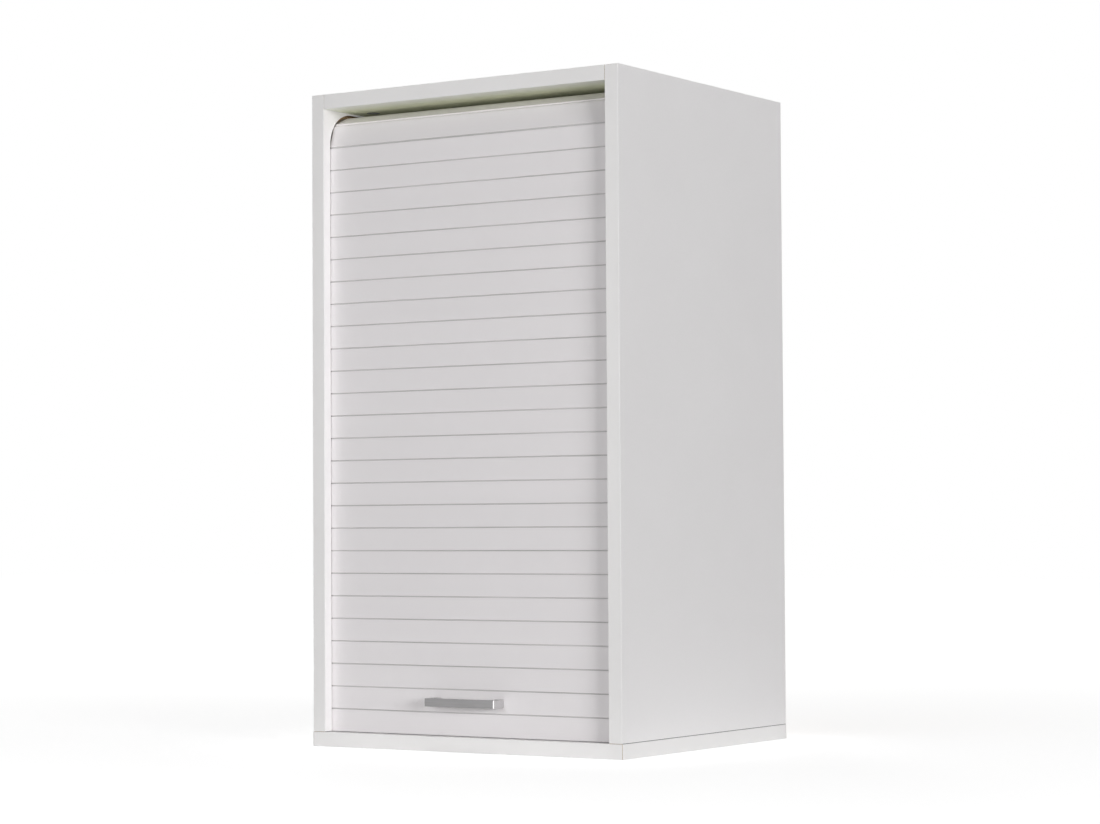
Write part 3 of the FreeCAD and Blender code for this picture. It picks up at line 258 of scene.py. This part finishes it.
class Shader:
    """The node tree of a material or the world, and short calls that add nodes and join them."""

    def __init__(self, owner):
        owner.use_nodes = True
        self.owner = owner
        self.tree = owner.node_tree
        self.tree.nodes.clear()

    def add(self, kind, inputs=None, **settings):
        """A node, with its inputs joined to other nodes' outputs or set to numbers."""
        node = self.tree.nodes.new(kind)
        for key, setting in settings.items():
            setattr(node, key, setting)
        for key, given in (inputs or {}).items():
            self.give(node.inputs[key], given)
        return node

    def give(self, socket, given):
        if isinstance(given, bpy.types.NodeSocket):
            self.tree.links.new(given, socket)
        else:
            socket.default_value = given

    @cached_property
    def place(self):
        """The place on the object, in metres."""
        return self.add("ShaderNodeTexCoord").outputs["Object"]

    def along(self, axis):
        """The place along one axis, which is given by its letter or its number."""
        return self.add("ShaderNodeSeparateXYZ", {"Vector": self.place}).outputs[axis]

    def facing(self, axis):
        """How far the surface faces along an axis, from minus one to one."""
        normal = self.add("ShaderNodeNewGeometry").outputs["Normal"]
        return self.add("ShaderNodeSeparateXYZ", {"Vector": normal}).outputs[axis]

    def noise(self, scale, detail=PLAIN_DETAIL, stretch=(1, 1, 1)):
        """Noise with the given number of features to the metre, drawn out along an axis if asked."""
        mapping = self.add("ShaderNodeMapping", {"Vector": self.place, "Scale": stretch})
        inputs = {"Vector": mapping.outputs["Vector"], "Scale": scale, "Detail": detail}
        return self.add("ShaderNodeTexNoise", inputs).outputs["Fac"]

    def varied(self, low, high, **noise):
        """Noise that runs from low to high."""
        return self.spread(self.noise(**noise), low, high)

    def spread(self, factor, low, high, start=NOISE_START, stop=NOISE_STOP):
        """The factor from start to stop, turned into a number from low to high."""
        inputs = {"Value": factor, "From Min": start, "From Max": stop, "To Min": low, "To Max": high}
        return self.add("ShaderNodeMapRange", inputs).outputs["Result"]

    def calculate(self, operation, *numbers):
        node = self.add("ShaderNodeMath", dict(enumerate(numbers)), operation=operation)
        return node.outputs["Value"]

    def product(self, first, second):
        return self.calculate("MULTIPLY", first, second)

    def between(self, number, low, high):
        """One where the number lies between low and high, else nought."""
        above = self.calculate("GREATER_THAN", number, low)
        below = self.calculate("LESS_THAN", number, high)
        return self.product(above, below)

    def shade(self, colour, factor):
        """The colour, lighter or darker by the factor."""
        inputs = {"Vector": colour, "Scale": factor}
        return self.add("ShaderNodeVectorMath", inputs, operation="SCALE").outputs["Vector"]

    def mix(self, factor, first, second):
        """The first colour where the factor is nought and the second where it is one."""
        node = self.add("ShaderNodeMix", {"Factor": factor}, data_type="RGBA")
        colours = [socket for socket in node.inputs if socket.type == "RGBA"]
        for socket, colour in zip(colours, (first, second)):
            self.give(socket, (*colour, 1.0) if isinstance(colour, tuple) else colour)
        return next(socket for socket in node.outputs if socket.type == "RGBA")

    def bump(self, height, distance, normal=None):
        """Relief of the given depth, in metres."""
        inputs = {"Height": height, "Distance": distance, "Strength": 1.0}
        if normal:
            inputs["Normal"] = normal
        return self.add("ShaderNodeBump", inputs).outputs["Normal"]

    def rounded(self, radius):
        """The surface's normal, turned over sharp edges as if they had the given radius."""
        node = self.add("ShaderNodeBevel", {"Radius": radius}, samples=ROUNDING_SAMPLES)
        return node.outputs["Normal"]

    def edges(self, rounded_normal):
        """Near one on sharp edges, nought on flat faces."""
        plain = self.add("ShaderNodeNewGeometry").outputs["Normal"]
        inputs = {0: plain, 1: rounded_normal}
        match = self.add("ShaderNodeVectorMath", inputs, operation="DOT_PRODUCT").outputs["Value"]
        return self.spread(match, 1.0, 0.0, FULL_EDGE_MATCH, 1.0)

    def seen_rays(self):
        """One for rays that end in the camera, straight, by a mirror or through glass."""
        rays = self.add("ShaderNodeLightPath").outputs
        seen = rays["Is Camera Ray"]
        for name in ("Is Glossy Ray", "Is Transmission Ray"):
            seen = self.calculate("MAXIMUM", seen, rays[name])
        return seen

    def finish(self, colour, roughness, normal, **constants):
        """The material, with the colour, the roughness and the relief on its surface."""
        inputs = {"Base Color": colour, "Roughness": roughness, "Normal": normal}
        surface = self.add("ShaderNodeBsdfPrincipled", {**inputs, **constants})
        self.add("ShaderNodeOutputMaterial", {"Surface": surface.outputs["BSDF"]})
        return self.owner


def new_shader(name):
    return Shader(bpy.data.materials.new(name))


def toned(colour, share):
    """The given share of a colour, at most white."""
    return tuple(min(1.0, share * part) for part in colour)


def panel_white_with_painted_underside(shader, front):
    """The top panel's white, with painted light on its underside, which is lighter and ivory there,
    and a painted olive shade of bounced light towards the back.
    """
    painted_shade_share = shader.spread(shader.along("Y"), 0.0, 1.0, front + PAINTED_OLIVE_SHADE_FROM, front + PAINTED_OLIVE_SHADE_FULLY)
    painted_underside = shader.mix(painted_shade_share, UNDERSIDE_PAINTED_LIGHT, UNDERSIDE_PAINTED_OLIVE_SHADE)
    white = shader.spread(shader.facing("Z"), 0.0, 1.0, *PAINTED_UNDERSIDE_FACING)
    return shader.mix(white, painted_underside, BOARD_WHITE)


def coated_board(node):
    """White melamine on chipboard: a fine pearl grain and faint clouds on the two coated faces and
    the top edge, paler along worn edges, and bare chips in the holes, in the grooves and on the
    other edges. An upright board has a painted shadow of the gap at its foot, with a little dirt."""
    shader = new_shader(f"{node}_look")
    low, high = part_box(node)
    size = high - low
    axis = min(range(3), key=lambda index: size[index])
    height = shader.along("Z")
    bare = shader.between(shader.along(axis), low[axis] + COATING, high[axis] - COATING)
    if axis != UP:
        bare = shader.product(bare, shader.between(height, low.z - COATING, high.z - COATING))

    # the top panel gets painted light and a painted olive shade on its underside
    base = panel_white_with_painted_underside(shader, low.y) if node == "top_panel" else BOARD_WHITE
    white = shader.shade(base, shader.varied(**BOARD_CLOUDS))
    white = shader.shade(white, shader.varied(**BOARD_SPECKS))
    rounded = shader.rounded(BOARD_EDGE_ROUNDING)
    worn = shader.product(shader.edges(rounded), shader.varied(**BOARD_WEAR))
    white = shader.mix(worn, white, toned(BOARD_WHITE, WORN_WHITE_SHARE))
    # painted shadow of the gap where an upright board stands on the bottom board, with a little dirt
    if axis != UP:
        painted_foot_shadow = shader.between(height, low.z - COATING, low.z + PAINTED_FOOT_SHADOW_HEIGHT)
        white = shader.mix(painted_foot_shadow, white, PAINTED_GAP_SHADOW_GREY)

    chips = shader.noise(**CHIPS)
    chipboard = shader.mix(shader.spread(chips, 0.0, 1.0), CHIP_DARK, CHIP_PALE)
    colour = shader.mix(bare, white, chipboard)
    grain = shader.bump(shader.noise(**BOARD_GRAIN), BOARD_RELIEF, rounded)
    relief = shader.bump(shader.product(chips, bare), CHIP_RELIEF, grain)
    rougher = shader.product(bare, BARE_CHIP_ROUGHER)
    roughness = shader.calculate("ADD", shader.varied(**BOARD_ROUGHNESS), rougher)
    return shader.finish(colour, roughness, relief, IOR=COATING_IOR)


def lacquered_back(name, colour):
    """Fibreboard, lacquered white on the side that shows inside and bare brown behind."""
    shader = new_shader(name)
    fibres = shader.noise(**BACK_FIBRES)
    white = shader.shade(colour, shader.varied(**BACK_CLOUDS))
    brown = shader.shade(FIBRE_BROWN, shader.spread(fibres, *FIBRE_TONES))
    behind = shader.spread(shader.facing("Y"), 0.0, 1.0, *FACING_BACK)
    relief = shader.bump(fibres, FIBRE_RELIEF)
    rougher = shader.product(behind, BARE_FIBRE_ROUGHER)
    roughness = shader.calculate("ADD", shader.varied(**BACK_ROUGHNESS), rougher)
    return shader.finish(shader.mix(behind, white, brown), roughness, relief, IOR=COATING_IOR)


def slat_plastic(name, colour):
    """Extruded plastic: fine lines along the slat and a tone that drifts from slat to slat. Painted
    shade, with dust, darkens the joints, and painted shade greys the ends in the grooves."""
    shader = new_shader(name)
    shaded = shader.shade(colour, shader.varied(**SLAT_TONES))
    shaded = shader.shade(shaded, shader.varied(**SLAT_CLOUDS))
    depth = shader.add("ShaderNodeAttribute", attribute_name="depth").outputs["Fac"]
    # painted shade in the joints, with dust, where a corner lies deep behind the slat's face
    joint_shade_and_dust = shader.product(shader.between(depth, *JOINT_DEPTHS), shader.varied(**SLAT_JOINT_SHADE_AND_DUST))
    # painted shade on the slat's ends beyond the side panel's face, in the grooves
    across = shader.calculate("ABSOLUTE", shader.along("X"))
    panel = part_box("side_panel_right")[0].x
    groove_painted_shade = shader.spread(across, 0.0, GROOVE_PAINTED_SHADE_SHARE, panel + GROOVE_PAINTED_SHADE_FROM, panel + GROOVE_PAINTED_SHADE_FULLY)
    shaded = shader.mix(groove_painted_shade, shader.mix(joint_shade_and_dust, shaded, JOINT_SHADE_AND_DUST_GREY), GROOVE_PAINTED_SHADE_GREY)
    lines = shader.bump(shader.noise(**SLAT_LINES), SLAT_RELIEF)
    relief = shader.bump(shader.noise(**PLASTIC_RIPPLES), SLAT_RELIEF, lines)
    return shader.finish(shaded, shader.varied(**SLAT_ROUGHNESS), relief, IOR=COATING_IOR)


def edge_strip(name, colour):
    """The glued strip: like the board, a little smoother, with faint marks of the trimming."""
    shader = new_shader(name)
    shaded = shader.shade(colour, shader.varied(**STRIP_CLOUDS))
    marks = shader.bump(shader.noise(**STRIP_MARKS), STRIP_MARK_RELIEF)
    relief = shader.bump(shader.noise(**PLASTIC_RIPPLES), STRIP_RELIEF, marks)
    return shader.finish(shaded, shader.varied(**STRIP_ROUGHNESS), relief, IOR=COATING_IOR)


def satin_metal(name, face, painted_lit_end):
    """Satin metal, brushed along the bar, with painted reflection: paler where it faces sideways at
    the ends, darker on the face.
    """
    shader = new_shader(name)
    streaks = shader.noise(**BRUSHING)
    sideways = shader.calculate("ABSOLUTE", shader.facing("X"))
    # painted reflection: paler ends, darker face
    base = shader.mix(shader.spread(sideways, 0.0, 1.0, *PAINTED_LIGHT_SIDEWAYS_FACING), face, painted_lit_end)
    shaded = shader.shade(base, shader.spread(streaks, *BRUSHING_TONES))
    shaded = shader.shade(shaded, shader.varied(**SATIN_CLOUDS))
    relief = shader.bump(streaks, BRUSHING_RELIEF)
    return shader.finish(shaded, shader.varied(**SATIN_ROUGHNESS), relief, Metallic=1.0)


def plated_steel(name, colour, roughness):
    """Zinc plate: a spangled tone and a fine pitted grain."""
    shader = new_shader(name)
    inputs = {"Vector": shader.place, "Scale": SPANGLES_TO_THE_METRE}
    spangles = shader.add("ShaderNodeTexVoronoi", inputs).outputs["Distance"]
    shaded = shader.shade(colour, shader.spread(spangles, *SPANGLE_TONES, *SPANGLE_REACH_SHARES))
    rounded = shader.rounded(FITTING_EDGE_ROUNDING)
    relief = shader.bump(shader.noise(**PLATE_PITS), PLATE_RELIEF, rounded)
    low, high = (roughness + step for step in PLATE_ROUGHNESS_AROUND)
    return shader.finish(shaded, shader.varied(low, high, **PLATE_STAINS), relief, Metallic=1.0)


def beech_wood(name, colour):
    """Beech dowels: darker flecks along the grain."""
    shader = new_shader(name)
    grain = shader.noise(**WOOD_GRAIN)
    flecks = shader.spread(grain, 0.0, FLECKED_SHARE)
    shaded = shader.mix(flecks, colour, toned(colour, DARK_BEECH_SHARE))
    relief = shader.bump(grain, WOOD_RELIEF)
    return shader.finish(shaded, shader.spread(grain, *WOOD_ROUGHNESS), relief)


def moulded_plastic(name, colour, roughness):
    """Injection-moulded plastic with a fine spark-eroded grain."""
    shader = new_shader(name)
    shaded = shader.shade(colour, shader.varied(**MOULDED_CLOUDS))
    rounded = shader.rounded(FITTING_EDGE_ROUNDING)
    relief = shader.bump(shader.noise(**MOULDED_GRAIN), MOULDED_RELIEF, rounded)
    low, high = (roughness + step for step in MOULDED_ROUGHNESS_AROUND)
    return shader.finish(shaded, shader.varied(low, high, **MOULDED_STAINS), relief, IOR=MOULDED_IOR)


def make_materials():
    """The looks that several pieces share, by slot."""
    return {
        "back_white": lacquered_back("back_white_look", BACK_WHITE),
        "edging_white": edge_strip("edging_white_look", EDGING_WHITE),
        "slat_white": slat_plastic("slat_white_look", SLAT_WHITE),
        "seal_grey": moulded_plastic("seal_grey_look", SEAL_GREY, SEAL_ROUGHNESS),
        "handle_satin": satin_metal("handle_satin_look", HANDLE_FACE_PAINTED_SHADE_GREY, HANDLE_END_PAINTED_LIGHT_GREY),
        "zinc": plated_steel("zinc_look", ZINC, ZINC_ROUGHNESS),
        "cam_zinc": plated_steel("cam_zinc_look", CAM_GREY, CAM_ROUGHNESS),
        "dowel_wood": beech_wood("dowel_wood_look", BEECH),
        "plastic_white": moulded_plastic("plastic_white_look", PLASTIC_WHITE, PLASTIC_ROUGHNESS),
    }


# Pieces

def dress_nodes():
    """Every board has a look of its own, and the other solids share one by their slot."""
    shared = make_materials()
    for node, slot in SLOTS.items():
        given = coated_board(node) if slot == "board_white" else shared[slot]
        NODES[node].data.materials.clear()
        NODES[node].data.materials.append(given)


def shorten(shape, node, gap):
    """Moves the ends of a strip inwards along its length, by the gap at each end."""
    low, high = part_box(node)
    size = high - low
    axis = max(range(3), key=lambda index: size[index])
    middle = (low[axis] + high[axis]) / 2
    for corner in shape.verts:
        corner.co[axis] += gap if corner.co[axis] < middle else -gap


def is_sharp(edge):
    return len(edge.link_faces) == 2 and edge.calc_face_angle(0.0) > SHARP_ANGLE


def finer_copy(node, name, rounding, gap=0.0):
    """A copy of a node's shape with its sharp edges rounded, which stands for the node."""
    mesh = NODES[node].data.copy()
    mesh.name = name
    shape = bmesh.new()
    shape.from_mesh(mesh)
    bmesh.ops.remove_doubles(shape, verts=shape.verts, dist=WELD_DISTANCE)
    bmesh.ops.dissolve_limit(shape, angle_limit=FLAT_ANGLE, verts=shape.verts, edges=shape.edges)
    if gap:
        shorten(shape, node, gap)
    bmesh.ops.bevel(
        shape,
        geom=[edge for edge in shape.edges if is_sharp(edge)],
        offset=rounding,
        offset_type="OFFSET",
        segments=ROUNDING_STEPS,
        profile=ROUND_PROFILE,
        affect="EDGES",
        clamp_overlap=True,
    )
    for face in shape.faces:
        face.smooth = True
    shape.to_mesh(mesh)
    shape.free()
    mesh.set_sharp_from_angle(angle=SMOOTH_ANGLE)
    piece = bpy.data.objects.new(name, mesh)
    bpy.context.scene.collection.objects.link(piece)
    weighted = piece.modifiers.new("flat_faces", "WEIGHTED_NORMAL")
    weighted.keep_sharp = True
    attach(piece, NODES[node]["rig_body"])
    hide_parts(node)
    return piece


def write_depth(mesh):
    """Notes at each corner how far it lies behind the slat's face, which is its largest face."""
    face = max(mesh.polygons, key=lambda polygon: polygon.area)
    depth = mesh.attributes.new("depth", "FLOAT", "POINT")
    for corner in mesh.vertices:
        depth.data[corner.index].value = (face.center - corner.co).dot(face.normal)


def make_slats():
    """All the slats. Those of the lift's deforming nodes get a mesh of their own."""
    joint_lines = {row["node"]: row["fixed_end_z_m"] for row in LIFT["deforming_nodes"]}
    for node in sorted(name for name in NODES if name.startswith("slat_")):
        piece = finer_copy(node, f"shutter_{node}", SLAT_ROUNDING)
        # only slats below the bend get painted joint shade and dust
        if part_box(node)[0].z < CAD_HIGH.z - BEND_DROP:
            write_depth(piece.data)
        if node in joint_lines:
            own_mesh(piece)


def make_strips():
    """The strips on the boards' edges, rounded along their edges so that the joints show."""
    for node in [name for name in NODES if "edging" in name]:
        gap = TOP_STRIP_JOINT if node == "top_edging" else STRIP_JOINT
        finer_copy(node, f"{node}_strip", STRIP_ROUNDING, gap)


def make_handle():
    finer_copy("handle", "handle_bar", HANDLE_ROUNDING)


# Studio

def make_floor():
    """A white floor that keeps a faint shadow round the cabinet where the camera sees it."""
    mesh = bpy.data.meshes.new("floor")
    corners = [(-1, -1), (1, -1), (1, 1), (-1, 1)]
    corners = [(x * FLOOR_HALF, y * FLOOR_HALF, 0.0) for x, y in corners]
    mesh.from_pydata(corners, [], [(0, 1, 2, 3)])
    floor = bpy.data.objects.new("floor", mesh)
    bpy.context.scene.collection.objects.link(floor)
    shader = new_shader("floor_look")
    plain = shader.add("ShaderNodeBsdfDiffuse", {"Color": FLOOR_COLOUR})
    faint = shader.add("ShaderNodeBsdfDiffuse", {"Color": FLOOR_SHADOW_COLOUR})
    away = shader.add("ShaderNodeVectorMath", {0: shader.place}, operation="LENGTH").outputs["Value"]
    strength = shader.spread(away, FLOOR_NEAR_STRENGTH, WHITE_STRENGTH, FLOOR_NEAR, FLOOR_FAR)
    glow = shader.add("ShaderNodeEmission", {"Strength": strength})
    pale = shader.add("ShaderNodeAddShader", {0: faint.outputs[0], 1: glow.outputs[0]})
    inputs = {0: shader.seen_rays(), 1: plain.outputs[0], 2: pale.outputs[0]}
    mixed = shader.add("ShaderNodeMixShader", inputs)
    shader.add("ShaderNodeOutputMaterial", {"Surface": mixed.outputs[0]})
    mesh.materials.append(shader.owner)


def make_sky():
    """White behind the cabinet, and a soft even light all round it."""
    world = bpy.data.worlds.new("sky")
    bpy.context.scene.world = world
    shader = Shader(world)
    strength = shader.spread(shader.seen_rays(), SKY_STRENGTH, WHITE_STRENGTH, 0.0, 1.0)
    background = shader.add("ShaderNodeBackground", {"Color": SKY_COLOUR, "Strength": strength})
    shader.add("ShaderNodeOutputWorld", {"Surface": background.outputs[0]})


def make_lamp(name, bearing, away, height, width, rise, power):
    """An oblong lamp that faces the cabinet's middle."""
    lamp = bpy.data.lights.new(name, "AREA")
    lamp.shape = "RECTANGLE"
    lamp.size = width
    lamp.size_y = rise
    lamp.energy = power
    if name in SPREADS:
        lamp.spread = math.radians(SPREADS[name])
    item = bpy.data.objects.new(name, lamp)
    bpy.context.scene.collection.objects.link(item)
    angle = math.radians(bearing)
    place = Vector((away * math.sin(angle), -away * math.cos(angle), height))
    item.location = place
    item.rotation_mode = "QUATERNION"
    item.rotation_quaternion = (CENTRE - place).to_track_quat("-Z", "Y")
    item.visible_camera = False


def make_camera():
    """The photograph's camera: turned by its yaw, tipped up by its pitch and rolled."""
    camera = bpy.data.cameras.new("camera")
    camera.sensor_width = SENSOR_WIDTH
    camera.lens = FOCAL_PIXELS / PHOTO_WIDTH * SENSOR_WIDTH
    item = bpy.data.objects.new("camera", camera)
    bpy.context.scene.collection.objects.link(item)
    sideways, level = math.sin(CAMERA_YAW), math.cos(CAMERA_YAW)
    forward = Vector((
        -sideways * math.cos(CAMERA_PITCH),
        level * math.cos(CAMERA_PITCH),
        math.sin(CAMERA_PITCH),
    ))
    right = Vector((level, sideways, 0.0))
    down = forward.cross(right)
    leaning_right = math.cos(CAMERA_ROLL) * right + math.sin(CAMERA_ROLL) * down
    leaning_down = math.cos(CAMERA_ROLL) * down - math.sin(CAMERA_ROLL) * right
    turn = Matrix((leaning_right, -leaning_down, -forward)).transposed().to_4x4()
    item.matrix_world = Matrix.Translation(CAMERA_PLACE) @ turn
    bpy.context.scene.camera = item


def main():
    bpy.context.scene.view_settings.view_transform = "Standard"
    dress_nodes()
    make_slats()
    make_strips()
    make_handle()
    make_floor()
    make_sky()
    for name, setting in LAMPS.items():
        make_lamp(name, **setting)
    make_camera()


main()
